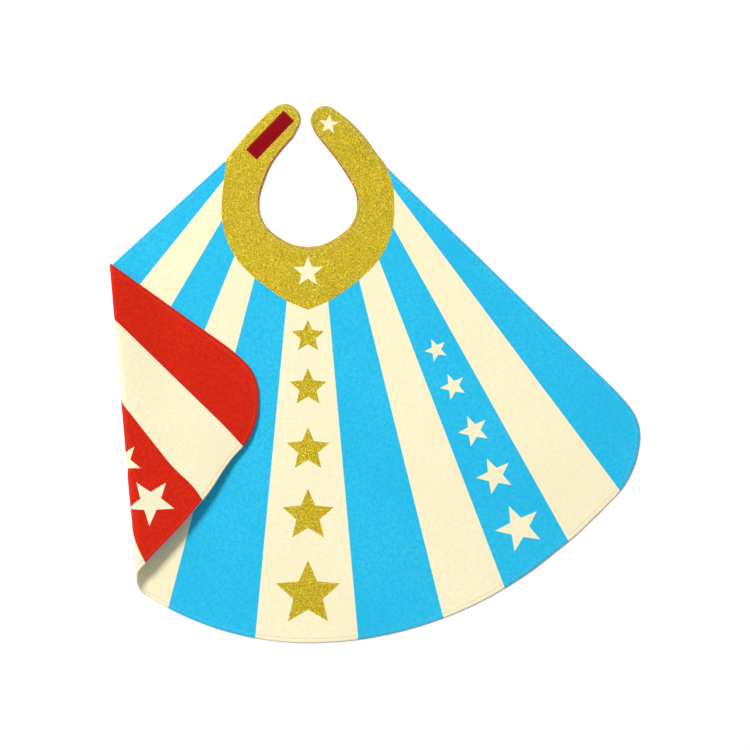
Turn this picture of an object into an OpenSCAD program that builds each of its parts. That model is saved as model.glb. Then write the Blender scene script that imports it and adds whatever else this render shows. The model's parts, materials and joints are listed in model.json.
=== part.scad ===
// Child's superhero cape, laid on its back cloth, with its left side turned over.
// Origin: middle of the neck opening, on the surface the cape lies on.
// +X is right, +Y is towards the neck tabs, +Z is up.

/* [Cloth] */
// Thickness of the front cloth and of the back cloth
cloth_t = 0.85; // [0.6:0.05:1]
// Thickness of the neck interfacing, which lies in a shallow recess in both cloths
inner_t = 0.3; // [0.2:0.1:0.4]
// Distance of the interfacing from the edge
inner_in = 9; // [7:1:12]
// Radius of the hem
hem_radius = 491; // [480:1:510]
// Distance from the neck centre down to the hem's centre
hem_drop = 80; // [70:1:90]
// Radius of the hem left of the middle, where the folded side draws it up
left_hem_radius = 387; // [370:1:420]
// Angle of the right side edge from straight down
side_angle = 45.7; // [44:0.1:48]
// Further angle of the left side edge, which lies spread a little wider
left_spread = 1.7; // [0:0.1:4]

/* [Fold] */
// Angle of the left fold from straight down
fold_angle = 4.94; // [3:0.01:6]
// Height of the rolled edge at its neck end
roll_top_h = 8; // [7:0.5:10]
// Height of the rolled edge at the hem
roll_hem_h = 22; // [20:0.5:26]
// Angle at which the turned-over flap slopes down from the rolled edge
flap_slope = 4; // [2:0.1:4]

/* [Glitter and thread] */
// Thickness of the glitter layer
glitter_t = 0.15; // [0.1:0.05:0.3]
// Distance of the topstitching from the edge
stitch_in = 5; // [4:0.5:7]
// Width of the sewing thread
thread_w = 0.6; // [0.4:0.1:1]

/* [Hook and loop] */
// Length of the hook strip and of the loop strip
tape_l = 70; // [60:1:72]
// Width of the hook strip and of the loop strip
tape_w = 19; // [16:1:20]
// Thickness of the hook strip and of the loop strip
tape_t = 1.6; // [1:0.1:2]

/* [Hidden] */

// Heights of the layers
top_z = 2 * cloth_t;
inner_low = cloth_t - inner_t / 2;
inner_high = cloth_t + inner_t / 2;
thread_sink = 0.15;
thread_stand = 0.1;
tape_low = top_z + glitter_t + thread_stand;

// Half the gap left in the cloth along each fold line
gap = 0.15;

// Outer and inner edge of the neck band from its lowest point to where a tab begins, right half
band_outer_points = [[0, -142], [28, -130], [52, -114], [72, -98], [91, -78], [104, -54],
  [110.5, -30], [111.5, -4], [109, 21]];
band_inner_points = [[0, -60.5], [20, -57.5], [37.5, -48.5], [52.5, -36], [61.3, -20], [63.2, -4],
  [61.3, 10]];

// Outer and inner edge of each tab from its fold line, and its round end. The left tab lies bent
// a little outwards, and its points are given as if it were on the right.
right_tab_outer = [[100.5, 43], [85, 63.5], [70, 83.5], [54, 100.5], [43.5, 109.5]];
right_tab_inner = [[56.5, 20.5], [47, 36], [36.4, 51.6], [24, 67], [11.5, 82.6]];
right_end_centre = [22.2, 101.5];
right_end_r = 18.8;
right_end_angles = [48, 215];
left_tab_outer = [[104, 53], [90, 71.5], [76.6, 87.7], [63, 101.5], [50, 114.5]];
left_tab_inner = [[58, 21], [51.5, 38], [44, 51.6], [32, 67.1], [20, 80.5]];
left_end_centre = [30, 104];
left_end_r = 19.8;
left_end_angles = [48, 208];

// Rounded corner between the right side edge and the hem, between a point this far along the
// side edge and a point this far right of the middle
corner_from = 415;
corner_points = [[414.5, -266.5], [423.5, -282], [427.8, -301], [426, -322], [419.5, -345.5],
  [405.5, -371.5], [386.5, -392.2], [365.5, -412.8], [344, -433.2]];
corner_to = 319;

// Straight pieces in each curve
curve_steps = 4;
arc_steps = 14;
left_hem_steps = 20;
hem_steps = 28;
flap_hem_steps = 9;

// Point about which the flap's outline is turned in the unfolded cape
fan_apex = [0, 161];

// The turned-over flap as it lies in the unfolded cape: a mirrored right side, turned and moved
flap_turn = 1;
flap_move = [8.5, 30];

// Neck end of the fold line, and the length over which the rolled edge grows to its full height
fold_top = [-253.5, -84.5];
fold_len = 415;

// Centres and angles of the hook strip and the loop strip
hook_centre = [-49, 83.5];
hook_angle = 46;
loop_centre = [43, 80.5];
loop_angle = -47;
tape_stitch_in = 1.5;
tape_stitch_t = 0.3;

// Unit vector at an angle from straight down, positive to the right
function down(angle) = [sin(angle), -cos(angle)];
// Vector after a quarter turn clockwise
function clockwise(v) = [v[1], -v[0]];
function unit(v) = v / norm(v);
function turn(p, a) = [p[0] * cos(a) - p[1] * sin(a), p[0] * sin(a) + p[1] * cos(a)];
function mirrored(points) = [for (p = points) [-p[0], p[1]]];
function backwards(list) = [for (i = [len(list) - 1:-1:0]) list[i]];

// Smooth curve through points
function curve_point(a, b, c, d, t) =
  0.5 * (2 * b + (c - a) * t + (2 * a - 5 * b + 4 * c - d) * t * t + (3 * b - a - 3 * c + d) * t * t * t);
function curve(points) = concat([for (i = [0:len(points) - 2], k = [0:curve_steps - 1])
  curve_point(points[max(i - 1, 0)], points[i], points[i + 1], points[min(i + 2, len(points) - 1)],
    k / curve_steps)], [points[len(points) - 1]]);
function part_of(list, first, last) = [for (i = [first:last]) list[i]];

// Crossing of two lines, each given by a point and a direction
function cross2(u, v) = u[0] * v[1] - u[1] * v[0];
function line_line(p, u, q, v) = p + u * cross2(q - p, v) / cross2(u, v);
// Far crossing of a line with a circle
function line_circle(p, u, c, r) =
  let (f = p - c, b = f * u) p + u * (-b + sqrt(b * b - f * f + r * r));
function arc_points(c, r, from, to, n) = [for (i = [0:n]) c + r * [cos(from + (to - from) * i / n),
  sin(from + (to - from) * i / n)]];
function bearing(v) = atan2(v[1], v[0]);

// Points moved inwards from a closed counterclockwise outline
function inward(points, d) = [for (i = [0:len(points) - 1])
  let (a = points[(i + len(points) - 1) % len(points)], b = points[i], c = points[(i + 1) % len(points)],
    u = unit(b - a), v = unit(c - b), n = unit([-u[1] - v[1], u[0] + v[0]]))
  b + n * d / max(0.5, n * [-u[1], u[0]])];

// Right side edge, corner and hem
hem_centre = [0, -hem_drop];
side_start = right_tab_outer[0];
side_dir = down(side_angle);
corner_low = hem_centre + [corner_to, -sqrt(hem_radius * hem_radius - corner_to * corner_to)];
corner_curve = curve(concat([side_start + corner_from * side_dir], corner_points, [corner_low]));
corner_last = len(corner_curve) - 1;

// Left side edge, as it lies under the flap's fold, and the left part of the hem
left_side_start = [-left_tab_outer[0][0], left_tab_outer[0][1]];
left_side_dir = down(-side_angle - left_spread);
left_hem_centre = hem_centre + [0, left_hem_radius - hem_radius];

// Fold line, and the line where the rolled edge meets the flap, in the unfolded cape
fold_dir = down(fold_angle);
fold_out = clockwise(fold_dir);
flap_line_top = fold_top + fold_out * roll_top_h;
flap_line_dir = unit(fold_top + fold_dir * fold_len + fold_out * roll_hem_h - flap_line_top);
flap_line_out = clockwise(flap_line_dir);

function to_flap(p) = fan_apex + turn([-p[0], p[1]] - fan_apex, -flap_turn) + flap_move;
flap_side_start = to_flap(side_start);
flap_side_dir = turn([-side_dir[0], side_dir[1]], -flap_turn);
flap_hem_centre = to_flap(hem_centre);
flap_corner = [for (p = corner_curve) to_flap(p)];

// Corners that the two fold lines make with the edges, offset along out by d
function main_fold_top(d) = line_line(fold_top + fold_out * d, fold_dir, left_side_start, left_side_dir);
function main_fold_hem(d) = line_circle(fold_top + fold_out * d, fold_dir, left_hem_centre,
  left_hem_radius);
function flap_fold_top(d) = line_line(flap_line_top + flap_line_out * d, flap_line_dir,
  flap_side_start, flap_side_dir);
function flap_fold_hem(d) = line_circle(flap_line_top + flap_line_out * d, flap_line_dir,
  flap_hem_centre, hem_radius);

// Edges of the neck band and the tabs. The left ones are given as if they were on the right.
right_outer = curve(concat(band_outer_points, right_tab_outer));
right_inner = curve(concat(band_inner_points, right_tab_inner));
left_outer = curve(concat(band_outer_points, left_tab_outer));
left_inner = curve(concat(band_inner_points, left_tab_inner));
outer_split = len(band_outer_points) * curve_steps;
inner_split = len(band_inner_points) * curve_steps;
right_end = arc_points(right_end_centre, right_end_r, right_end_angles[0], right_end_angles[1], arc_steps);
left_end = arc_points(left_end_centre, left_end_r, left_end_angles[0], left_end_angles[1], arc_steps);

// Fold line of each tab
hinge_outer = right_tab_outer[0];
hinge_inner = right_tab_inner[0];
hinge_dir = unit(hinge_inner - hinge_outer);
left_hinge_inner = [-left_tab_inner[0][0], left_tab_inner[0][1]];

// Main part of the cape, counterclockwise
left_hem_from = bearing(main_fold_hem(-gap) - left_hem_centre);
hem_to = bearing(corner_low - hem_centre);
band_left_inner = mirrored(part_of(left_inner, 1, inner_split));
main_outline = concat(band_left_inner,
  [left_side_start],
  [main_fold_top(-gap)],
  arc_points(left_hem_centre, left_hem_radius, left_hem_from, -90, left_hem_steps),
  part_of(arc_points(hem_centre, hem_radius, -90, hem_to, hem_steps), 1, hem_steps),
  part_of(backwards(corner_curve), 1, corner_last),
  [hinge_outer],
  backwards(part_of(right_inner, 0, inner_split)));
band_outline = concat(part_of(right_outer, 0, outer_split), backwards(part_of(right_inner, 0, inner_split)),
  band_left_inner, backwards(mirrored(part_of(left_outer, 1, outer_split))));

// Rolled edge and flap, counterclockwise
roll_outline = [main_fold_top(gap), flap_fold_top(-gap), flap_fold_hem(-gap), main_fold_hem(gap)];
flap_hem_from = bearing(flap_corner[corner_last] - flap_hem_centre);
flap_hem_to = bearing(flap_fold_hem(gap) - flap_hem_centre);
flap_outline = concat([flap_fold_top(gap)], flap_corner,
  part_of(arc_points(flap_hem_centre, hem_radius, flap_hem_from, flap_hem_to, flap_hem_steps),
    1, flap_hem_steps));

// Bare edge left round the glitter
glitter_in = 0.3;

// Each tab, counterclockwise, with a gap at its fold line
function tab_outline(outer, inner, end) =
  let (out = clockwise(unit(inner[inner_split] - outer[outer_split])) * 2 * gap)
  concat([outer[outer_split] + out], part_of(outer, outer_split + 1, len(outer) - 1), end,
    backwards(part_of(inner, inner_split + 1, len(inner) - 1)), [inner[inner_split] + out]);
right_tab_outline = tab_outline(right_outer, right_inner, right_end);
left_tab_outline = backwards(mirrored(tab_outline(left_outer, left_inner, left_end)));

// Whole neck band with both tabs, counterclockwise
function half_outline(outer, inner, end) = concat(outer, end, backwards(part_of(inner, 1, len(inner) - 1)));
left_half = half_outline(left_outer, left_inner, left_end);
neck_outline = concat(half_outline(right_outer, right_inner, right_end), [band_inner_points[0]],
  backwards(mirrored(part_of(left_half, 1, len(left_half) - 1))));

// Slope that leaves room under the right tab for the loop strip
right_tab_tilt = 4;

// Distance from the fold lines at which the thread ends, and how far the cutters reach past the cloth
thread_clear = stitch_in + 2;
roll_thread_clear = 1;
cut_past = 20;

// Highest star, the distance of each one below it, their outer radii, and the waist of a star as
// a share of its radius
first_star_y = -176;
star_gaps = [0, 66, 146, 231, 332];
star_radii = [21.9, 25.2, 29, 34.6, 43.6];
star_waist = 0.46;

module slab(outline, low, high) {
  translate([0, 0, low])
    linear_extrude(height = high - low)
      polygon(outline);
}

module ring(outline, from, to, low, high) {
  difference() {
    slab(inward(outline, from), low, high);
    slab(inward(outline, to), low - 1, high + 1);
  }
}

// Cuts away what lies within reach of a straight fold line
module along(p, q, reach) {
  translate([p[0], p[1], -cut_past])
    rotate([0, 0, bearing(q - p)])
      translate([-cut_past, -reach, 0])
        cube([norm(q - p) + 2 * cut_past, 2 * reach, 2 * cut_past]);
}

// Interfacing that lies in one part of the neck band
module interfacing(outline) {
  difference() {
    intersection() {
      slab(inward(neck_outline, inner_in), inner_low, inner_high);
      slab(outline, 0, top_z);
    }
    along(hinge_outer, hinge_inner, inner_in / 2);
    along(left_side_start, left_hinge_inner, inner_in / 2);
  }
}

// One of the two cloths, without the thread and the interfacing that lie in it
module cloth(outline, low, high) {
  difference() {
    slab(outline, low, high);
    children();
  }
}

// Thread of the front and the back cloth round the main part
module main_thread() {
  difference() {
    union() {
      ring(main_outline, stitch_in, stitch_in + thread_w,
        top_z - thread_sink, top_z + thread_stand);
      ring(main_outline, stitch_in, stitch_in + thread_w, 0, thread_sink);
    }
    along(main_fold_top(0), main_fold_hem(0), thread_clear);
    along(left_side_start, left_hinge_inner, thread_clear);
    along(hinge_outer, hinge_inner, thread_clear);
  }
}

module flap_thread() {
  difference() {
    union() {
      ring(flap_outline, stitch_in, stitch_in + thread_w,
        top_z - thread_sink, top_z + thread_stand);
      ring(flap_outline, stitch_in, stitch_in + thread_w, 0, thread_sink);
    }
    along(flap_fold_top(0), flap_fold_hem(0), thread_clear);
  }
}

module tab_thread(outline) {
  difference() {
    union() {
      ring(outline, stitch_in, stitch_in + thread_w,
        top_z - thread_sink, top_z + glitter_t + thread_stand);
      ring(outline, stitch_in, stitch_in + thread_w, 0, thread_sink);
    }
    along(left_side_start, left_hinge_inner, thread_clear);
    along(hinge_outer, hinge_inner, thread_clear);
  }
}

// Straight run of thread inside the edge from p to q, which reaches past both its ends
function run(p, q) =
  let (u = unit(q - p), n = -clockwise(u), a = p - u * stitch_in + n * stitch_in,
    b = q + u * stitch_in + n * stitch_in)
  [a, b, b + n * thread_w, a + n * thread_w];

// Thread across the rolled edge, at its hem end and its neck end
module roll_thread() {
  difference() {
    intersection() {
      union() {
        for (edge = [run(roll_outline[2], roll_outline[3]), run(roll_outline[0], roll_outline[1])]) {
          slab(edge, top_z - thread_sink, top_z + thread_stand);
          slab(edge, 0, thread_sink);
        }
      }
      slab(roll_outline, 0, 2 * top_z);
    }
    along(main_fold_top(0), main_fold_hem(0), roll_thread_clear);
    along(flap_fold_top(0), flap_fold_hem(0), roll_thread_clear);
  }
}

// Turns what it is given about a fold line at the height of the cloth's top
module fold_turn(point, dir, angle) {
  translate([point[0], point[1], top_z])
    rotate(a = angle, v = [-dir[0], -dir[1], 0])
      translate([-point[0], -point[1], -top_z])
        children();
}

module roll_place() {
  fold_turn(fold_top, fold_dir, 90)
    children();
}

module flap_place() {
  roll_place()
    fold_turn(flap_line_top, flap_line_dir, 90 + flap_slope)
      children();
}

module right_tab_place() {
  translate([hinge_outer[0], hinge_outer[1], top_z])
    rotate(a = -right_tab_tilt, v = [hinge_dir[0], hinge_dir[1], 0])
      translate([-hinge_outer[0], -hinge_outer[1], -top_z])
        children();
}

// Star with one point up
function star_outline(r) = [for (i = [0:9]) (i % 2 == 0 ? r : r * star_waist)
  * [cos(90 + 36 * i), sin(90 + 36 * i)]];

module glitter_star(n) {
  color("darkgoldenrod")
    translate([0, first_star_y - star_gaps[n - 1], 0])
      slab(star_outline(star_radii[n - 1]), top_z, top_z + glitter_t);
}

module tape(centre, angle, low, high, inset) {
  translate([centre[0], centre[1], low])
    rotate([0, 0, angle])
      translate([-tape_l / 2 + inset, -tape_w / 2 + inset, 0])
        cube([tape_l - 2 * inset, tape_w - 2 * inset, high - low]);
}

module tape_ring(centre, angle, low, high) {
  difference() {
    tape(centre, angle, low, high, tape_stitch_in);
    tape(centre, angle, low - 1, high + 1, tape_stitch_in + thread_w);
  }
}

module front_cloth() {
  color("deepskyblue")
    cloth(main_outline, cloth_t, top_z) {
      main_thread();
      interfacing(band_outline);
    }
}

module back_cloth() {
  color("firebrick")
    cloth(main_outline, 0, cloth_t) {
      main_thread();
      interfacing(band_outline);
    }
}

module neck_interfacing() {
  color("white")
    interfacing(band_outline);
}

module glitter_collar() {
  color("goldenrod")
    difference() {
      slab(inward(band_outline, glitter_in), top_z, top_z + glitter_t);
      main_thread();
    }
}

module topstitching() {
  color("lightsteelblue")
    main_thread();
}

module roll_front_cloth() {
  color("beige")
    roll_place()
      cloth(roll_outline, cloth_t, top_z)
        roll_thread();
}

module roll_back_cloth() {
  color("firebrick")
    roll_place()
      cloth(roll_outline, 0, cloth_t)
        roll_thread();
}

module roll_topstitching() {
  color("lightsteelblue")
    roll_place()
      roll_thread();
}

module flap_front_cloth() {
  color("deepskyblue")
    flap_place()
      cloth(flap_outline, cloth_t, top_z)
        flap_thread();
}

module flap_back_cloth() {
  color("firebrick")
    flap_place()
      cloth(flap_outline, 0, cloth_t)
        flap_thread();
}

module flap_topstitching() {
  color("tan")
    flap_place()
      flap_thread();
}

module tab_front(outline) {
  color("goldenrod")
    cloth(outline, cloth_t, top_z) {
      tab_thread(outline);
      interfacing(outline);
    }
}

module tab_back(outline) {
  color("firebrick")
    cloth(outline, 0, cloth_t) {
      tab_thread(outline);
      interfacing(outline);
    }
}

module tab_inner_layer(outline) {
  color("white")
    interfacing(outline);
}

module tab_glitter(outline) {
  color("goldenrod")
    difference() {
      slab(inward(outline, glitter_in), top_z, top_z + glitter_t);
      tab_thread(outline);
    }
}

module left_tab_front_cloth() {
  tab_front(left_tab_outline);
}

module left_tab_back_cloth() {
  tab_back(left_tab_outline);
}

module left_tab_interfacing() {
  tab_inner_layer(left_tab_outline);
}

module left_tab_glitter() {
  tab_glitter(left_tab_outline);
}

module left_tab_topstitching() {
  color("lightsteelblue")
    tab_thread(left_tab_outline);
}

module hook_strip() {
  color("darkred")
    difference() {
      tape(hook_centre, hook_angle, tape_low, tape_low + tape_t, 0);
      tape_ring(hook_centre, hook_angle, tape_low + tape_t - tape_stitch_t, tape_low + tape_t + 1);
    }
}

module hook_strip_stitching() {
  color("maroon")
    tape_ring(hook_centre, hook_angle, tape_low + tape_t - tape_stitch_t, tape_low + tape_t);
}

module right_tab_front_cloth() {
  right_tab_place()
    tab_front(right_tab_outline);
}

module right_tab_back_cloth() {
  right_tab_place()
    tab_back(right_tab_outline);
}

module right_tab_interfacing() {
  right_tab_place()
    tab_inner_layer(right_tab_outline);
}

module right_tab_glitter() {
  right_tab_place()
    tab_glitter(right_tab_outline);
}

module right_tab_topstitching() {
  color("lightsteelblue")
    right_tab_place()
      tab_thread(right_tab_outline);
}

module loop_strip() {
  color("darkred")
    right_tab_place()
      difference() {
        tape(loop_centre, loop_angle, -tape_t, 0, 0);
        tape_ring(loop_centre, loop_angle, -tape_t - 1, -tape_t + tape_stitch_t);
      }
}

module loop_strip_stitching() {
  color("maroon")
    right_tab_place()
      tape_ring(loop_centre, loop_angle, -tape_t, -tape_t + tape_stitch_t);
}

front_cloth();
back_cloth();
neck_interfacing();
glitter_collar();
glitter_star(1);  // glitter_star_1
glitter_star(2);  // glitter_star_2
glitter_star(3);  // glitter_star_3
glitter_star(4);  // glitter_star_4
glitter_star(5);  // glitter_star_5
topstitching();
roll_front_cloth();
roll_back_cloth();
roll_topstitching();
flap_front_cloth();
flap_back_cloth();
flap_topstitching();
left_tab_front_cloth();
left_tab_back_cloth();
left_tab_interfacing();
left_tab_glitter();
left_tab_topstitching();
hook_strip();
hook_strip_stitching();
right_tab_front_cloth();
right_tab_back_cloth();
right_tab_interfacing();
right_tab_glitter();
right_tab_topstitching();
loop_strip();
loop_strip_stitching();
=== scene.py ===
import json
import math

import bpy
import numpy as np
from mathutils import Matrix, Vector, noise
from mathutils.geometry import delaunay_2d_cdt


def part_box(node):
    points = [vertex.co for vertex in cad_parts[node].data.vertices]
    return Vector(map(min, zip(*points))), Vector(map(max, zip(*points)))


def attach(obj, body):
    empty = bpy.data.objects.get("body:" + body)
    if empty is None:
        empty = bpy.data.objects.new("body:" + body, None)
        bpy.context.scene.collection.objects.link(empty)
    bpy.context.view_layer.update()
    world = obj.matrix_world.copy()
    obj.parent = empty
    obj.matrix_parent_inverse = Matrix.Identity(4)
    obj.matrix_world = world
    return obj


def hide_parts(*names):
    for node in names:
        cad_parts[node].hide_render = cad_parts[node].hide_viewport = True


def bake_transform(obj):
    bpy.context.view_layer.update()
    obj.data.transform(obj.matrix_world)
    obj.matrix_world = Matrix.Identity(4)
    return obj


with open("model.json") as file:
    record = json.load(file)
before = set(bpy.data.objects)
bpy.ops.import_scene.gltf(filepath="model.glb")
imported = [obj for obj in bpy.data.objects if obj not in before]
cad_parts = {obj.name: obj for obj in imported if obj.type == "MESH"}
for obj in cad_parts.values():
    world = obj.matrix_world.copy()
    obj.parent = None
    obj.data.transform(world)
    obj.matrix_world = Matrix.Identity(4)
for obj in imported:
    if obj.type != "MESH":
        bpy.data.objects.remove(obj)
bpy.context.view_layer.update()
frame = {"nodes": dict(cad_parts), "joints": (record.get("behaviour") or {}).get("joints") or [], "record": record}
JOINTS = {j["name"]: j for j in frame["joints"]}
MOUNTS = {m["name"]: m for m in frame["record"]["mounts"]}

# Flat coordinates are the unfolded cape's, in millimetres; z is measured from the mid-surface,
# where the two cloths meet, and is positive on the front.
MM = 1000.0
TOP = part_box("front_cloth")[1].z * MM
HALF = TOP / 2

# -------------------- print pattern
# The point that the stripes fan out from, and the angles from the centre line where they change.
# On the left they're spread by LEFT_SPREAD, and on the flap turned and moved.
APEX = np.array([0.0, 161.0])
STRIPES = [5.1, 14.0, 21.0, 29.2, 36.9]
LEFT_SPREAD = 0.05
FLAP_TURN = 1.0
FLAP_MOVE = np.array([10.5, 27.5])
# Cream stars: distance from the apex and radius of each, then a single star's centre, radius
# and lean
STAR_ANGLE = 25.0
LEFT_STAR_ANGLE = 24.7
LEFT_STAR_ON = 2.7
STARS = [(391, 15.1), (443, 17.3), (506, 20.5), (570, 24.3), (644, 31.0)]
STAR_WAIST = 0.42
COLLAR_STAR = ((0.0, -93.0), 20.4, 0.0)
TAB_STAR = ((27.0, 96.8), 13.3, -6.0)
STAR_NODES = [f"glitter_star_{k}" for k in range(1, 6)]

# -------------------- cloth
EDGE_ROUND = 1.3
STITCH_IN = 5.0
STITCH_DIP = 0.22
STITCH_DIP_WIDE = 0.75
ALLOWANCE = 8.5
ALLOWANCE_LIFT = 0.12
ALLOWANCE_SOFT = 1.5
ALLOWANCE_RISE = 2.0
STITCH_LONG = 3.0
STITCH_STEP = 3.9
STITCH_SAMPLE = 2.0
THREAD_R = 0.24
GLITTER_HIGH = 0.16
GLITTER_SUNK = 0.02
GLITTER_INSET = 0.2
INNER_HALF = 0.06
INNER_INSET = 9.0
HINGE_BAND = 5.0
CUT_MOST = 0.8
ROLL_LOWEST = 5.0
# Unevenness of the cloth: each wave's share, its two lengths and its seed
WAVES = [(1.0, 95.0, 140.0, 3.7), (0.45, 42.0, 55.0, 8.1)]
WAVE_MEAN = 0.5
WAVE_SWING = 0.55
WAVE_MOST = 1.2
WAVE_HIGH = 1.1
FLAP_WAVE = 0.4

# The flap's upper part sags to the cloth below. These are the share of the gap that it closes,
# the gap left, and where the sag starts and ends.
SAG_SHARE = 0.8
SAG_GAP = 0.8
SAG_REACH = 70.0
SAG_TO = 235.0
SAG_FADE = 120.0
# The flap's free hem is raised a little, pulled in towards the flap's middle, and pushed along
# the fold. FROM and TO are places along the fold line.
LIFT_REACH = 75.0
LIFT_FROM = 170.0
LIFT_FADE = 110.0
HEM_LIFT = 1.0
HEM_PULL = 8.0
PULL_FROM = 205.0
PULL_RISE = 85.0
PULL_TO = 365.0
PULL_FADE = 85.0
HEM_PUSH = 10.0
PUSH_FROM = 354.0
PUSH_RISE = 64.0
# The reverse cloth shows as a thin rim round the neck, and the front cloth along the flap's hem
RIM = 1.3
RIM_THROAT = 0.78
RIM_TOP = 84.0
RIM_LIP = 0.8
NECK_HALF = 80.0
TAB_FACES_IN = -0.35
HEM_RIM = 0.8
HEM_RIM_FROM = 300.0

# -------------------- mesh density
RINGS = [0.0, 0.25, 0.8, 1.3, 3.0, 4.3, 5.0, 5.7, 7.2, 9.0, 12.0]
EDGE_STEP = 4.0
GRID = 7.0
ROW_SHARE = 0.866
ROLL_ALONG = np.arange(-60, 480, 6.0)
ROLL_ROUND = np.arange(-0.12, 1.13, 0.05)
ROLL_CLEAR = 0.15
ROLL_EDGE_GAP = 1.5
SPLIT_GAP = 0.4
GRID_GAP = 2.0
RING_SLACK = 0.03
STITCH_SLACK = 0.05
SAME_POINT = 0.05
CDT_EPSILON = 1e-4
SLIVER = 1e-5
STRIPE_RADII = np.arange(170, 760, 4.0)
STRIPE_ROUNDS = 12
CLOTH_SHARP = math.radians(50)
TAPE_SHARP = math.radians(60)


def turn_about(joint, degrees):
    """Matrix of a turn about a joint's axis, in metres."""
    point, axis = Vector(joint["pos_m"]), Vector(joint["axis"])
    turn = Matrix.Rotation(math.radians(degrees), 4, axis)
    return Matrix.Translation(point) @ turn @ Matrix.Translation(-point)


UNROLL = turn_about(JOINTS["fold_unroll"], JOINTS["fold_unroll"]["range_deg"][1])
UNFOLD = UNROLL @ turn_about(JOINTS["flap_unfold"], JOINTS["flap_unfold"]["range_deg"][1])
REFOLD = np.array(UNFOLD.inverted())
TILT = math.acos(-MOUNTS["loop_face"]["axis"][2])
LAY_TAB = turn_about(JOINTS["right_tab_bend"], -math.degrees(TILT))

# Fold line: a point, its direction and its outward normal; and the line at the flap's own hinge
FOLD = np.array(JOINTS["fold_unroll"]["pos_m"][:2]) * MM
FOLD_DIR = np.array(JOINTS["fold_unroll"]["axis"][:2])
FOLD_OUT = np.array([FOLD_DIR[1], -FOLD_DIR[0]])
flap_point = np.array((UNROLL @ Vector(JOINTS["flap_unfold"]["pos_m"]))[:2]) * MM
flap_dir = np.array((UNROLL.to_3x3() @ Vector(JOINTS["flap_unfold"]["axis"]))[:2])
ROLL_TOP = float((flap_point - FOLD) @ FOLD_OUT)
ROLL_GROW = float((flap_dir @ FOLD_OUT) / (flap_dir @ FOLD_DIR))
ROLL_SKEW = float((flap_point - FOLD) @ FOLD_DIR)
# Each tab's fold line: its outer end, its direction inwards, and its normal towards the tab
HINGES = {}
for side, name in ((-1, "left_tab_bend"), (1, "right_tab_bend")):
    way = np.array(JOINTS[name]["axis"][:2])
    way = way * (-side * np.sign(way[0]))
    normal = np.array([-way[1], way[0]])
    HINGES[side] = (np.array(JOINTS[name]["pos_m"][:2]) * MM, way, normal * np.sign(normal[1]))


def roll_height(along):
    """The rolled edge's height at a distance along the fold line."""
    return np.maximum(ROLL_TOP + (along - ROLL_SKEW) * ROLL_GROW, ROLL_LOWEST)


def fold_coordinates(xy):
    """Distance along the fold line, distance out from it, and the rolled edge's height there."""
    along = (xy - FOLD) @ FOLD_DIR
    out = (xy - FOLD) @ FOLD_OUT
    return along, out, roll_height(along)


def roll_share(xy):
    """0 on the main part, 1 on the flap, and the share of the way round the roll between.

    The roll starts half its height inside the fold line and ends one and a half times outside it.
    """
    along, out, high = fold_coordinates(xy)
    return (out + high / 2) / (2 * high)


def smooth(t):
    t = np.clip(t, 0, 1)
    return t * t * (3 - 2 * t)


# -------------------- outlines of the CAD solids
def outline(node, undo=Matrix.Identity(4), level=TOP):
    """The largest loop round a node's faces at one height in flat coordinates."""
    mesh = frame["nodes"][node].data
    mesh.calc_loop_triangles()
    points = [(undo @ v.co) * MM for v in mesh.vertices]
    following = {}
    for tri in mesh.loop_triangles:
        corners = [points[i] for i in tri.vertices]
        if any(abs(c.z - level) > 0.01 for c in corners):
            continue
        keys = [(round(c.x, 3), round(c.y, 3)) for c in corners]
        if (corners[1] - corners[0]).cross(corners[2] - corners[0]).z < 0:
            keys.reverse()
        for a, b in zip(keys, keys[1:] + keys[:1]):
            if a in following.get(b, []):
                following[b].remove(a)
            else:
                following.setdefault(a, []).append(b)
    loops = []
    starts = [a for a in sorted(following) if following[a]]
    for start in starts:
        while following[start]:
            loop, here = [], start
            while following.get(here):
                loop.append(here)
                here = following[here].pop()
                if here == start:
                    break
            loops.append(np.array(loop))
    return max(loops, key=lambda p: abs(area_of(p)))


def area_of(loop):
    """A closed loop's area, positive when anticlockwise."""
    x, y = loop[:, 0], loop[:, 1]
    return 0.5 * float(np.sum(x * np.roll(y, -1) - np.roll(x, -1) * y))


def inside(xy, loop):
    """Which points lie inside a closed loop."""
    x, y = xy[:, 0][:, None], xy[:, 1][:, None]
    x0, y0 = loop[:, 0][None], loop[:, 1][None]
    x1, y1 = np.roll(x0, -1), np.roll(y0, -1)
    crosses = (y0 > y) != (y1 > y)
    at = x0 + (y - y0) * (x1 - x0) / np.where(y1 == y0, 1e-9, y1 - y0)
    return (np.sum(crosses & (x < at), axis=1) % 2).astype(bool)


def resampled(loop, step, closed=True):
    """The same polyline with no stretch longer than step, keeping its own points."""
    ends = np.roll(loop, -1, axis=0) if closed else loop[1:]
    made = []
    for a, b in zip(loop, ends):
        n = max(1, int(math.ceil(np.linalg.norm(b - a) / step)))
        made += [a + (b - a) * k / n for k in range(n)]
    if not closed:
        made.append(loop[-1])
    return np.array(made)


def nearest(loop, point):
    """The number of the loop's point nearest to a place."""
    return int(np.argmin(np.linalg.norm(loop - point, axis=1)))


main_loop = outline("front_cloth")
flap_loop = outline("flap_front_cloth", UNFOLD)
left_tab_loop = outline("left_tab_front_cloth")
right_tab_loop = outline("right_tab_front_cloth", LAY_TAB)
SIDES = {-1: left_tab_loop, 1: right_tab_loop}


def is_on_line(points, point, direction, reach=1.0):
    """Which points lie within reach of a line."""
    normal = np.array([direction[1], -direction[0]])
    return np.abs((points - point) @ normal) < reach


def ends_on(loop, point, direction):
    """The first and last of a loop's points on a line."""
    found = loop[is_on_line(loop, point, direction)]
    order = np.argsort((found - point) @ direction)
    return found[order[0]], found[order[-1]]


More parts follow.
